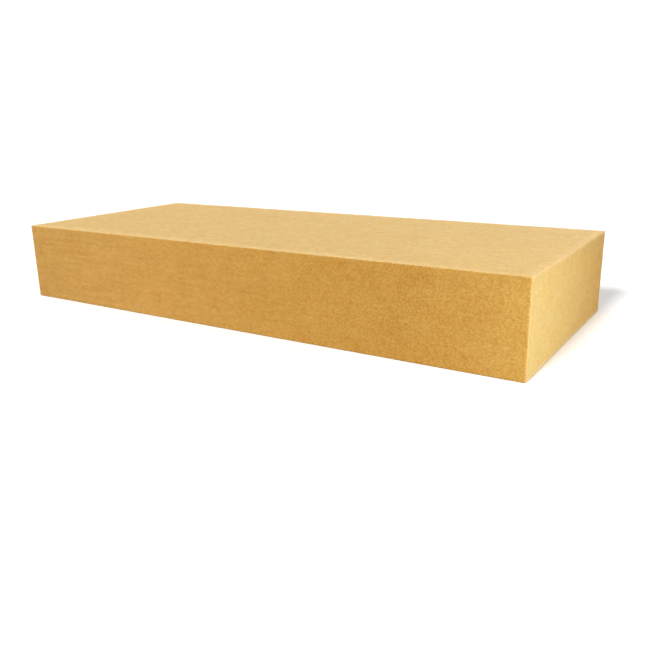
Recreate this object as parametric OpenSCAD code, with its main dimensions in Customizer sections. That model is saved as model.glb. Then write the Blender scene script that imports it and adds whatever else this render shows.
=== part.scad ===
// Rigid wood fibre insulation board with square-cut edges, lying flat on one big face.
// The origin is the centre of the lower big face. X runs along the length, Y along the
// width and Z up through the thickness. All sizes are in millimetres.

/* [Board] */
// Length of the board, along X
board_length = 1400; // [600:5:2800]
// Width of the board, along Y
board_width = 575; // [300:5:800]
// Thickness of the board, along Z
board_thickness = 200; // [40:5:300]

/* [Arrises] */
// Radius of the eased arrises that run round both big faces
face_arris_r = 2; // [0.5:0.5:8]
// Radius of the eased arrises that stand at the four corners
corner_arris_r = 3; // [0.5:0.5:8]

/* [Colours] */
// Colour of the pressed and sawn wood fibre
fibre_colour = "#dcb06c"; // ["#dcb06c", "#c99a55", "#8a6238"]

/* [Hidden] */
// Segments of a full circle when the model is drawn as a mesh
$fn = 64;
// Distance that each section runs past the two sides that the other sections shape
overrun = 10;

// Rectangle about the origin whose four corners are quarter rounds of radius r
module eased_rectangle(size_x, size_y, r) {
    square([size_x - 2 * r, size_y], center = true);
    square([size_x, size_y - 2 * r], center = true);
    for (side_x = [-1, 1], side_y = [-1, 1])
        translate([side_x * (size_x / 2 - r), side_y * (size_y / 2 - r)])
            circle(r);
}

// Outline seen from above, which rounds the four upright corners
module plan_section() {
    translate([0, 0, -overrun])
        linear_extrude(board_thickness + 2 * overrun)
            eased_rectangle(board_length, board_width, corner_arris_r);
}

// Outline seen from a long edge, which rounds the arrises at both ends
module long_section() {
    translate([0, 0, board_thickness / 2])
        rotate([90, 0, 0])
            linear_extrude(board_width + 2 * overrun, center = true)
                eased_rectangle(board_length, board_thickness, face_arris_r);
}

// Outline seen from an end, which rounds the arrises along both long edges
module cross_section() {
    translate([0, 0, board_thickness / 2])
        rotate([90, 0, 90])
            linear_extrude(board_length + 2 * overrun, center = true)
                eased_rectangle(board_width, board_thickness, face_arris_r);
}

// The board is what all three sections share, so the arrises run together at each corner
module board() {
    color(fibre_colour)
        intersection() {
            plan_section();
            long_section();
            cross_section();
        }
}

board();
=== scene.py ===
import math

import bmesh
import bpy
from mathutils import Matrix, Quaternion, Vector


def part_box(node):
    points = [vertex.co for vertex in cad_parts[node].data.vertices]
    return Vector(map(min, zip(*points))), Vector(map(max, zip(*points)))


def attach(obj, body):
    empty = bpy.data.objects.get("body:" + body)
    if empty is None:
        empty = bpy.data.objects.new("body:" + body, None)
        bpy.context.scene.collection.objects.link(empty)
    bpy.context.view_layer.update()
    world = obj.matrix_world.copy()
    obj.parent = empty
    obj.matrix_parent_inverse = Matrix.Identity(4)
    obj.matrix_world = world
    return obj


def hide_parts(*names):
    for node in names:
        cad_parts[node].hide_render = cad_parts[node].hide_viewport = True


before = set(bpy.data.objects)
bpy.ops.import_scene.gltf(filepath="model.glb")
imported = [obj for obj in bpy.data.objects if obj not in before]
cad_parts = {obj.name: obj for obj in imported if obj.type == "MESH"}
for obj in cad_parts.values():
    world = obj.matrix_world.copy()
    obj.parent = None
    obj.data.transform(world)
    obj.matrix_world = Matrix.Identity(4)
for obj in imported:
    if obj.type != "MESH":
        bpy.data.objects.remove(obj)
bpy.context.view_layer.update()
boardLow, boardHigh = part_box("board")
boardSize = boardHigh - boardLow
boardMiddle = (boardLow + boardHigh) / 2
halfSize = boardSize / 2
scene = bpy.context.scene
print("frame loaded: the board is", [round(side, 4) for side in boardSize], "metres")


# the shader sums of all the materials

class Wire:
    # wraps a socket, so that patterns can be added and multiplied like numbers
    def __init__(self, tree, socket=None):
        self.tree = tree
        self.socket = socket

    def node(self, kind, settings=None, inputs=None, output=0):
        made = self.tree.nodes.new("ShaderNode" + kind)
        for name, value in (settings or {}).items():
            if name == "stops":
                self.fillRamp(made.color_ramp, value)
            else:
                setattr(made, name, value)
        for name, value in (inputs or {}).items():
            if isinstance(value, Wire):
                self.tree.links.new(value.socket, made.inputs[name])
            else:
                made.inputs[name].default_value = value
        return Wire(self.tree, made.outputs[output] if made.outputs else None)

    def fillRamp(self, ramp, stops):
        while len(ramp.elements) < len(stops):
            ramp.elements.new(1)
        for element, (place, colour) in zip(ramp.elements, stops):
            element.position = place
            element.color = colour

    def sum(self, operation, *values):
        return self.node("Math", {"operation": operation}, dict(enumerate(values)))

    def __add__(self, other):
        return self.sum("ADD", self, other)

    def __sub__(self, other):
        return self.sum("SUBTRACT", self, other)

    def __rsub__(self, other):
        return self.sum("SUBTRACT", other, self)

    def __mul__(self, other):
        return self.sum("MULTIPLY", self, other)

    __radd__ = __add__
    __rmul__ = __mul__


def newMaterial(name):
    material = bpy.data.materials.new(name)
    material.use_nodes = True
    material.node_tree.nodes.clear()
    return material, Wire(material.node_tree)


def mixedColour(factor, first, second):
    # a Mix node has its two colours at sockets 6 and 7, and gives the mixed one at 2
    return factor.node("Mix", {"data_type": "RGBA"}, {0: factor, 6: first, 7: second}, 2)


def larger(first, second):
    return first.sum("MAXIMUM", first, second)


def smaller(first, second):
    return first.sum("MINIMUM", first, second)


def ramped(value, low, high):
    # 0 at low and 1 at high, with nothing outside
    return value.node("MapRange", inputs={"Value": value, "From Min": low, "From Max": high})


def seenDirectly(start):
    # 1 where the camera, a reflection or a clear piece looks at the surface
    direct = start.node("LightPath", output="Is Camera Ray")
    glossy = start.node("LightPath", output="Is Glossy Ray")
    clear = start.node("LightPath", output="Is Transmission Ray")
    return larger(direct, larger(glossy, clear))


# camera

view = {
    "lens": 39.53,  # millimetres, on a sensor 36 mm wide
    "azimuth": 32.914,  # degrees from square-on to the front edge, towards the right end
    "elevation": 16.43,  # degrees above the horizon
    "roll": -1.108,  # degrees, a slight tilt to one side
    "distance": 1.873,  # metres from the point that it aims at
    "aim": (0.0802, -0.0009, -0.1504),  # metres from the board's middle
    "farthest": 100,  # metres that it sees
}


def directionTo(azimuth, elevation):
    # unit vector from the board towards an azimuth from the front and an elevation, in degrees
    turn, rise = math.radians(azimuth), math.radians(elevation)
    return Vector((math.sin(turn) * math.cos(rise), -math.cos(turn) * math.cos(rise), math.sin(rise)))


def makeCamera():
    data = bpy.data.cameras.new("camera")
    data.lens = view["lens"]
    data.clip_end = view["farthest"]
    made = bpy.data.objects.new("camera", data)
    scene.collection.objects.link(made)
    back = directionTo(view["azimuth"], view["elevation"])
    made.location = boardMiddle + Vector(view["aim"]) + back * view["distance"]
    made.rotation_mode = "QUATERNION"
    tilt = Quaternion(back, math.radians(view["roll"]))
    made.rotation_quaternion = tilt @ (-back).to_track_quat("-Z", "Y")
    scene.camera = made


makeCamera()
print("camera placed")


# studio: floor, sky and lamps

studio = {
    "floorSide": 24,  # metres
    "floorSeen": 1.0,  # how pale the floor is to the camera
    "floorGlow": 0.15,  # light that only the camera sees on it, which makes it white
    "floorBounce": 0.35,  # how pale it is to the light that it throws back on the board
    "sky": 0.36,  # strength of the even light from all round
    "sunDistance": 4,  # metres; only their directions count
}

# azimuths and elevations are where the light comes from, in degrees; 1 is a plain level of light
suns = {
    "keyLamp": {"azimuth": -5, "elevation": 36, "spread": 12, "level": 0.93},
    "backLamp": {"azimuth": -178, "elevation": 6, "spread": 12, "level": 0.65},
    "leftLamp": {"azimuth": -92, "elevation": 6, "spread": 12, "level": 0.40},
}

endLamp = {
    "azimuth": 81,
    "elevation": 2,
    "distance": 0.9,  # metres from the point that it aims at
    "side": 0.25,  # metres
    "power": 6.9,  # watts
    "aim": (0.70, -0.25, 0),  # metres from the board's middle
}


def makeSky():
    world = bpy.data.worlds.new("sky")
    scene.world = world
    world.use_nodes = True
    world.node_tree.nodes.clear()
    start = Wire(world.node_tree)
    strength = studio["sky"] + (1 - studio["sky"]) * seenDirectly(start)
    light = start.node("Background", inputs={"Color": (1, 1, 1, 1), "Strength": strength})
    start.node("OutputWorld", inputs={"Surface": light})


def makeFloor():
    bpy.ops.object.select_all(action="DESELECT")
    bpy.ops.mesh.primitive_plane_add(
        size=studio["floorSide"], location=(boardMiddle.x, boardMiddle.y, boardLow.z))
    made = bpy.context.object
    made.name = "floor"
    bpy.ops.object.transform_apply(location=True)
    material, start = newMaterial("floorPaper")
    direct = seenDirectly(start)
    shade = studio["floorBounce"] + (studio["floorSeen"] - studio["floorBounce"]) * direct
    paper = start.node("BsdfDiffuse", inputs={"Color": shade})
    glow = start.node("Emission", inputs={"Strength": studio["floorGlow"] * direct})
    both = start.node("AddShader", inputs={0: paper, 1: glow})
    start.node("OutputMaterial", inputs={"Surface": both})
    made.data.materials.append(material)


def placeLamp(data, azimuth, elevation, distance, aim):
    made = bpy.data.objects.new(data.name, data)
    scene.collection.objects.link(made)
    away = directionTo(azimuth, elevation)
    made.location = boardMiddle + Vector(aim) + away * distance
    made.rotation_euler = away.to_track_quat("Z", "Y").to_euler()
    made.visible_camera = False


def makeSun(name, sun):
    data = bpy.data.lights.new(name, "SUN")
    data.angle = math.radians(sun["spread"])
    data.energy = math.pi * sun["level"]
    placeLamp(data, sun["azimuth"], sun["elevation"], studio["sunDistance"], (0, 0, 0))


def makeEndLamp():
    data = bpy.data.lights.new("endLamp", "AREA")
    data.shape = "SQUARE"
    data.size = endLamp["side"]
    data.energy = endLamp["power"]
    placeLamp(data, endLamp["azimuth"], endLamp["elevation"], endLamp["distance"], endLamp["aim"])


makeSky()
makeFloor()
for sunName, sunValues in suns.items():
    makeSun(sunName, sunValues)
makeEndLamp()
scene.view_settings.view_transform = "Standard"
print("studio lit")


# the board's mesh

block = {
    "cell": 0.0069,  # side of the squares that the faces are divided into
    "arrisCuts": 2,  # more cuts in the squares beside an arris
    "faceArris": 0.002,  # rounding of the arrises round both big faces
    "cornerArris": 0.003,  # rounding of the four upright arrises
    "arrisSteps": 3,  # flats that each rounding is made of
    "shortest": 0.003,  # edges under this length are on a rounding and stay uncut
    "mostCells": 100,  # more cells than this along a side are cut in two rounds
    "cutsAtOnce": 13,  # in the first of the two
    "arrisStrip": 1.05,  # width of the strip beside an arris that is cut finer, in cells
    "arrisReach": 0.0045,  # how far in from an arris the nicks may start
    "touching": 1e-5,  # an edge this near to an arris is the arris itself
    "inLine": 0.9,  # share of an edge's length that lies along an axis if it runs that way
}

# hollows pressed into the surface: size and depth in metres, contrast and bias of the cloud pattern
hollows = {
    "swell": {"size": 0.16, "depth": 0.0005, "contrast": 1.0, "bias": 1.0},
    "grain": {"size": 0.016, "depth": 0.00012, "contrast": 1.5, "bias": 1.0},
    "nicks": {"size": 0.006, "depth": 0.0009, "contrast": 3.2, "bias": 1.5, "group": "arris"},
    "fray": {"size": 0.0035, "depth": 0.0004, "contrast": 2.0, "bias": 1.0, "group": "arris"},
}


def outerGaps(place):
    # distances inwards from the nearest end, long edge and big face
    return [halfSize[axis] - abs(place[axis] - boardMiddle[axis]) for axis in range(3)]


def arrisGap(place):
    # distance to the nearest arris: of the three gaps, the middle one
    return sorted(outerGaps(place))[1]


def selectEdges(board, wanted):
    mesh = bmesh.from_edit_mesh(board.data)
    for edge in mesh.edges:
        edge.select_set(wanted(edge))
    mesh.select_flush(False)
    bmesh.update_edit_mesh(board.data)


def runsAlong(edge, axis):
    step = edge.verts[1].co - edge.verts[0].co
    return abs(step[axis]) > block["inLine"] * step.length


def middleOf(edge):
    return (edge.verts[0].co + edge.verts[1].co) / 2


def divideAlong(board, axis, cuts):
    selectEdges(board, lambda edge: runsAlong(edge, axis))
    bpy.ops.mesh.subdivide(number_cuts=cuts)


def weighArrises(board):
    weights = board.data.attributes.new("bevel_weight_edge", "FLOAT", "EDGE")
    vertices = board.data.vertices
    for edge in board.data.edges:
        ends = [vertices[index].co for index in edge.vertices]
        gaps = outerGaps((ends[0] + ends[1]) / 2)
        if sorted(gaps)[1] < block["touching"]:
            upright = gaps[2] > block["touching"]
            weights.data[edge.index].value = 1 if upright else block["faceArris"] / block["cornerArris"]


def applyModifier(board, kind, **settings):
    modifier = board.modifiers.new(kind.lower(), kind)
    for name, value in settings.items():
        setattr(modifier, name, value)
    bpy.ops.object.modifier_apply(modifier=modifier.name)


def makeBoard():
    bpy.ops.object.select_all(action="DESELECT")
    bpy.ops.mesh.primitive_cube_add(size=1, location=boardMiddle, scale=boardSize)
    board = bpy.context.object
    board.name = "fibreBoard"
    bpy.ops.object.transform_apply(location=True, scale=True)
    bpy.ops.object.mode_set(mode="EDIT")
    bpy.ops.mesh.select_mode(type="EDGE")
    for axis in range(3):
        cells = round(boardSize[axis] / block["cell"])
        if cells > block["mostCells"]:
            first = block["cutsAtOnce"]
            divideAlong(board, axis, first)
            cells = round(cells / (first + 1))
        divideAlong(board, axis, cells - 1)
    bpy.ops.object.mode_set(mode="OBJECT")
    weighArrises(board)
    applyModifier(board, "BEVEL", limit_method="WEIGHT", width=block["cornerArris"],
                  segments=block["arrisSteps"])
    bpy.ops.object.mode_set(mode="EDIT")
    selectEdges(board, lambda edge: edge.calc_length() > block["shortest"]
                and arrisGap(middleOf(edge)) < block["arrisStrip"] * block["cell"])
    bpy.ops.mesh.subdivide(number_cuts=block["arrisCuts"])
    bpy.ops.object.mode_set(mode="OBJECT")
    bpy.ops.object.shade_smooth()
    return board


def groupArrises(board):
    group = board.vertex_groups.new(name="arris")
    for vertex in board.data.vertices:
        weight = 1 - arrisGap(vertex.co) / block["arrisReach"]
        if weight > 0:
            group.add([vertex.index], weight, "REPLACE")


def pressHollows(board):
    # every hollow goes inwards, so that the board stays in its box
    for name, hollow in hollows.items():
        clouds = bpy.data.textures.new(name, "CLOUDS")
        clouds.noise_scale = hollow["size"]
        clouds.noise_depth = 1
        clouds.contrast = hollow["contrast"]
        clouds.intensity = hollow["bias"]
        clouds.use_clamp = True
        applyModifier(board, "DISPLACE", texture=clouds, texture_coords="LOCAL", direction="NORMAL",
                      mid_level=1, strength=hollow["depth"], vertex_group=hollow.get("group", ""))


# a flat map of the six sides, for baking: the long sides one above another, the ends beside them

bakeMap = {
    "gap": 0.010,  # metres between the sides on the map
    "side": 1.64,  # metres that the whole map stands for
}


def mapCorners():
    # where each side's lowest corner goes on the map, in metres, by axis and direction
    gap = bakeMap["gap"]
    length, width, height = boardSize
    corners = {}
    up = gap
    for axis, sign in ((2, 1), (2, -1), (1, -1), (1, 1)):
        corners[axis, sign] = (gap, up)
        up += gap + (width if axis == 2 else height)
    corners[0, 1] = (length + 2 * gap, gap)
    corners[0, -1] = (length + 2 * gap, width + 2 * gap)
    return corners


def mapForBaking(board):
    layer = board.data.uv_layers.new(name="OFBake")
    board.data.uv_layers.active = layer
    corners = mapCorners()
    across = {0: (2, 1), 1: (0, 2), 2: (0, 1)}  # the two directions that each side's map shows
    for face in board.data.polygons:
        axis = max(range(3), key=lambda way: abs(face.normal[way]))
        sign = 1 if face.normal[axis] > 0 else -1
        first, second = across[axis]
        left, low = corners[axis, sign]
        for index in face.loop_indices:
            place = board.data.vertices[board.data.loops[index].vertex_index].co - boardLow
            layer.data[index].uv = ((left + place[first]) / bakeMap["side"],
                                    (low + place[second]) / bakeMap["side"])


board = makeBoard()
groupArrises(board)
mapForBaking(board)
pressHollows(board)
triangles = sum(len(face.vertices) - 2 for face in board.data.polygons)
print("board modelled:", len(board.data.polygons), "faces,", triangles, "triangles")


# the board's material

fibre = {
    "face": (0.782, 0.531, 0.217, 1),  # the big faces, pale and felted
    "faceLitRight": (0.832, 0.560, 0.215, 1),  # and towards the right end near the front edge, paler with painted light
    # the long edges, darker and more saturated than the ends with painted shade, from the left end at 0
    # to the right end at 1: darker right of the middle, and paler at the right end with painted light
    "edge": (
        (0, (0.580, 0.317, 0.083, 1)),
        (0.33, (0.610, 0.327, 0.081, 1)),
        (0.60, (0.570, 0.302, 0.065, 1)),
        (0.84, (0.554, 0.291, 0.060, 1)),
        (1, (0.622, 0.350, 0.079, 1)),
    ),
    "end": (0.803, 0.577, 0.216, 1),  # the sawn ends, next to the front edge
    "endShadedBack": (0.795, 0.482, 0.143, 1),  # and next to the back edge, darker and warmer with painted shade, and on the left end
    "warm": (1.030, 0.985, 0.930, 1),  # the two tints that the patches turn between
    "cool": (0.988, 1.000, 1.055, 1),
    "tintDepth": {"face": 0.45, "edge": 0.4, "end": 0.6},
    "tintRange": (0.35, 0.65),  # levels of the patches between which the tint turns
    "faceGrain": (0.48, 0.545, 0.38, 1),  # what a pale grain adds to the colour, and a dark one takes
    "edgeGrain": (0.595, 0.525, 0.200, 1),
    "endGrain": (0.45, 0.555, 0.36, 1),
    "arrisFluffAndHighlight": (0.86, 0.60, 0.26, 1),  # the fluffed fibre on the arrises, with a painted highlight along them
    "arrisFluffAndHighlightStrength": {"face": 0.72, "edge": 0.4, "end": 0.85},  # how strongly that shows on each side
    "arrisWidth": {"face": 0.024, "edge": 0.0015, "end": 0.010},  # metres, as are all the sizes below
    "arrisHighlightWider": 0.022,  # how much wider that is on the big faces at the left end, for the painted highlight
    "arrisFull": 0.3,  # share of that width that is at its palest
    "fraySize": 0.004,  # waves in the line where the pale strip ends
    "frayDepth": 0.006,
    "raggedSize": 0.003,  # waves in the line where one side's colour meets the next
    "raggedDepth": 0.002,
    "edgeLap": 0.001,  # how far the long edges' colour goes over onto the ends
    "tintSize": 0.03,
    "patchSize": 0.045,
    "patchTone": 0.12,
    "clumpSize": 0.013,
    "clumpTone": {"face": 0.26, "edge": 0.04, "end": 0.08},
    "fineFrom": -0.55,  # the flecks grow finer from here, along the length from the middle,
    "fineTo": 0.52,  # to here
    "fleckSize": (0.0044, 0.0044, 0.0040),
    "softSize": (0.0165, 0.012, 0.0074),  # the softer flecks of the ends and of the board's left half
    "softTone": 1.08,  # against 1 for the fine ones
    "leftSharpness": 0.4,  # share of fine flecks at the left end, against 1 at the right
    "endSoftness": 0.85,  # share of the fine flecks that the sawn ends lack
    "fleckTone": {"face": 0.25, "edge": 0.335, "end": 0.235},
    "layerSize": (0.12, 0.09, 0.009),  # the felted layers that show as streaks on the sides
    "layerTone": {"face": 0, "edge": 0.18, "end": 0.06},
    "layerFade": 0.7,  # share of the streaks that is gone at the right end
    "strandSize": (0.008, 0.0007, 0.0006),  # length, width and thickness of a strand of fibre
    "strandTurns": (14, 59, 104, 149),  # degrees about the upright
    "strandRange": (0.50, 0.80),  # levels of its pattern where a strand starts and is full
    "strandMiddle": 0.4,  # amount of strand that leaves the colour as it is
    "strandTone": {"face": 0.12, "edge": 0.10, "end": 0.10},
    "shiveSize": (0.026, 0.0022, 0.0012),  # the coarse slivers among the strands
    "shiveTurns": (35, 80, 125, 170),
    "shiveRange": (0.60, 0.80),
    "shiveMiddle": 0.2,
    "shiveTone": {"face": 0.10, "edge": 0.05, "end": 0.10},
    "bendSize": 0.014,  # length of the bends in strands and slivers
    "bendReach": (0.008, 0.008, 0.001),  # how far these carry them, mostly sideways
    "poreSize": (0.007, 0.007, 0.007),  # spacing of the pores
    "poreRadius": 0.16,  # against the spacing
    "poreTone": {"face": 0.08, "edge": 0.20, "end": 0.12},
    "speckSize": (0.030, 0.030, 0.018),
    "speckRadius": 0.075,
    "speckTone": 0.32,
    "paintedLightFrom": 0.30,  # painted light: the big faces grow paler near the front from here to the right end
    "leftStrength": 0.72,  # of all the fine grain at the left end, against 1 at the right
    "strandHeight": 0.00025,
    "fleckHeight": 0.00012,
    "poreDepth": 0.0004,
    "roughness": 0.95,
    "strandGloss": 0.12,  # how much less rough a strand is
    "specular": 0.03,
    "finerShare": 0.4,  # strength of each finer layer of a cloudy pattern, against the one before
    "dotCore": 0.4,  # share of a round spot's radius that is at full strength
}


def grain(place, size, detail=1.0):
    # cloudy pattern from 0 to 1 round about a half, with blots of a size in metres
    return place.node("TexNoise", inputs={
        "Vector": place, "Scale": 1 / size, "Detail": detail, "Roughness": fibre["finerShare"]})


def mottle(place, size, detail=1.0):
    # the same pattern round about 0, for what is now paler and now darker
    return grain(place, size, detail) - 0.5


def part(vector, index):
    return vector.node("SeparateXYZ", inputs={0: vector}, output=index)


def stretched(place, size, turn=0):
    # the place in a lattice of cells of a size, turned about the upright
    return place.node("Mapping", {"vector_type": "TEXTURE"}, {
        "Vector": place, "Rotation": (0, 0, math.radians(turn)), "Scale": size})


def layers(place, size, turns):
    # slivers that lie flat and cross each other: the strongest of several stretched patterns
    strongest = None
    for turn in turns:
        layer = grain(stretched(place, size, turn), 1, 0)
        strongest = layer if strongest is None else larger(strongest, layer)
    return strongest


def dots(place, size, radius):
    # round spots scattered one to a cell, 1 at their middles
    spots = place.node("TexVoronoi", inputs={"Vector": stretched(place, size), "Scale": 1})
    return 1 - ramped(spots, fibre["dotCore"] * radius, radius)


def makeFibre():
    material, start = newMaterial("woodFibre")
    place = start.node("TexCoord", output="Object")
    fromMiddle = start.node("VectorMath", {"operation": "SUBTRACT"}, {0: place, 1: boardMiddle})
    inside = start.node("VectorMath", {"operation": "ABSOLUTE"}, {0: fromMiddle})
    gaps = start.node("VectorMath", {"operation": "SUBTRACT"}, {0: tuple(halfSize), 1: inside})
    ragged = mottle(place, fibre["raggedSize"]) * fibre["raggedDepth"]
    endGap, edgeGap, faceGap = (part(gaps, index) for index in range(3))

    # which side a point is on, each from 0 to 1
    onFace = faceGap.sum("LESS_THAN", faceGap + ragged, smaller(endGap, edgeGap))
    onEnd = endGap.sum("LESS_THAN", endGap + ragged + fibre["edgeLap"], edgeGap) * (1 - onFace)
    onEdge = 1 - onFace - onEnd

    def bySide(values):
        return values["face"] * onFace + values["edge"] * onEdge + values["end"] * onEnd

    # strands and slivers, bent by a pattern that shifts them
    bend = start.node("TexNoise", inputs={"Vector": place, "Scale": 1 / fibre["bendSize"], "Detail": 1},
                      output="Color")
    bent = start.node("VectorMath", {"operation": "MULTIPLY_ADD"}, {
        0: bend, 1: fibre["bendReach"], 2: place})
    strand = ramped(layers(bent, fibre["strandSize"], fibre["strandTurns"]), *fibre["strandRange"])
    shive = ramped(layers(bent, fibre["shiveSize"], fibre["shiveTurns"]), *fibre["shiveRange"])

    # flecks, which are finer towards the right end, then pores, specks, clumps and patches
    along = part(fromMiddle, 0)
    rightwards = ramped(along, fibre["fineFrom"], fibre["fineTo"])
    sharp = mottle(stretched(place, fibre["fleckSize"]), 1, 0)
    soft = mottle(stretched(place, fibre["softSize"]), 1) * fibre["softTone"]
    sharpness = fibre["leftSharpness"] + (1 - fibre["leftSharpness"]) * rightwards
    sharpness = sharpness * (1 - fibre["endSoftness"] * onEnd)
    fleck = sharp * sharpness + soft * (1 - sharpness * sharpness)
    pore = dots(place, fibre["poreSize"], fibre["poreRadius"])
    speck = dots(place, fibre["speckSize"], fibre["speckRadius"])
    clump = mottle(place, fibre["clumpSize"])
    patch = mottle(place, fibre["patchSize"], 2)

    # how much paler or darker all of these make the colour
    strength = fibre["leftStrength"] + (1 - fibre["leftStrength"]) * rightwards
    fine = (fleck * bySide(fibre["fleckTone"])
            + (strand - fibre["strandMiddle"]) * bySide(fibre["strandTone"])
            + (shive - fibre["shiveMiddle"]) * bySide(fibre["shiveTone"])
            - pore * bySide(fibre["poreTone"]))
    layer = mottle(stretched(place, fibre["layerSize"]), 1) * (1 - fibre["layerFade"] * rightwards)
    tone = (fine * strength + clump * bySide(fibre["clumpTone"]) + patch * fibre["patchTone"]
            + layer * bySide(fibre["layerTone"]) - speck * fibre["speckTone"])

    # the pale strips along the arrises, fluffed fibre with a painted highlight: of a point's three
    # gaps, the middle one is its arris's
    arris = larger(smaller(endGap, edgeGap), smaller(larger(endGap, edgeGap), faceGap))
    frayed = arris + mottle(place, fibre["fraySize"], 2) * fibre["frayDepth"]
    width = bySide(fibre["arrisWidth"]) + fibre["arrisHighlightWider"] * onFace * (1 - rightwards)
    paleStripAndHighlight = 1 - ramped(frayed, fibre["arrisFull"] * width, width)

    # the colour of each side with its painted light and shade, its tint, its pale arrises and its grain
    nearFront = ramped(part(fromMiddle, 1), halfSize.y, -halfSize.y)
    # painted shade on the ends towards the back edge; the left end takes the same colour
    towardsBackOrLeft = larger(1 - nearFront, ramped(along, 0, -halfSize.x))
    # painted shade on the long edges, with painted light towards their right end
    edgeShadeAndLight = along.node("ValToRGB", {"stops": fibre["edge"]}, {
        0: ramped(along, -halfSize.x, halfSize.x)})
    # painted light on the big faces towards the right end, near the front edge
    litRightEnd = ramped(along, fibre["paintedLightFrom"], halfSize.x)
    faceColour = mixedColour(litRightEnd * nearFront, fibre["face"], fibre["faceLitRight"])
    sawn = mixedColour(onEnd, edgeShadeAndLight, mixedColour(towardsBackOrLeft, fibre["end"], fibre["endShadedBack"]))
    colour = mixedColour(onFace, sawn, faceColour)
    turned = ramped(grain(place, fibre["tintSize"]), *fibre["tintRange"])
    tint = mixedColour(turned, fibre["warm"], fibre["cool"])
    tint = mixedColour(bySide(fibre["tintDepth"]), (1, 1, 1, 1), tint)
    colour = start.node("VectorMath", {"operation": "MULTIPLY"}, {0: colour, 1: tint})
    # painted highlight: the arrises turn towards the pale fluffed-fibre colour
    colour = mixedColour(paleStripAndHighlight * bySide(fibre["arrisFluffAndHighlightStrength"]), colour, fibre["arrisFluffAndHighlight"])
    sawnGrain = mixedColour(onEnd, fibre["edgeGrain"], fibre["endGrain"])
    grained = mixedColour(onFace, sawnGrain, fibre["faceGrain"])
    colour = start.node("VectorMath", {"operation": "MULTIPLY_ADD"}, {0: grained, 1: tone, 2: colour})

    # relief and sheen
    height = ((strand + shive) * fibre["strandHeight"] + fleck * fibre["fleckHeight"]
              - (pore + speck) * fibre["poreDepth"])
    bump = start.node("Bump", inputs={"Strength": 1, "Distance": 1, "Height": height})
    surface = start.node("BsdfPrincipled", inputs={
        "Base Color": colour, "Roughness": fibre["roughness"] - fibre["strandGloss"] * strand,
        "Specular IOR Level": fibre["specular"], "Normal": bump})
    start.node("OutputMaterial", inputs={"Surface": surface})
    return material


board.data.materials.clear()
board.data.materials.append(makeFibre())
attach(board, "root")
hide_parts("board")
print("material made")
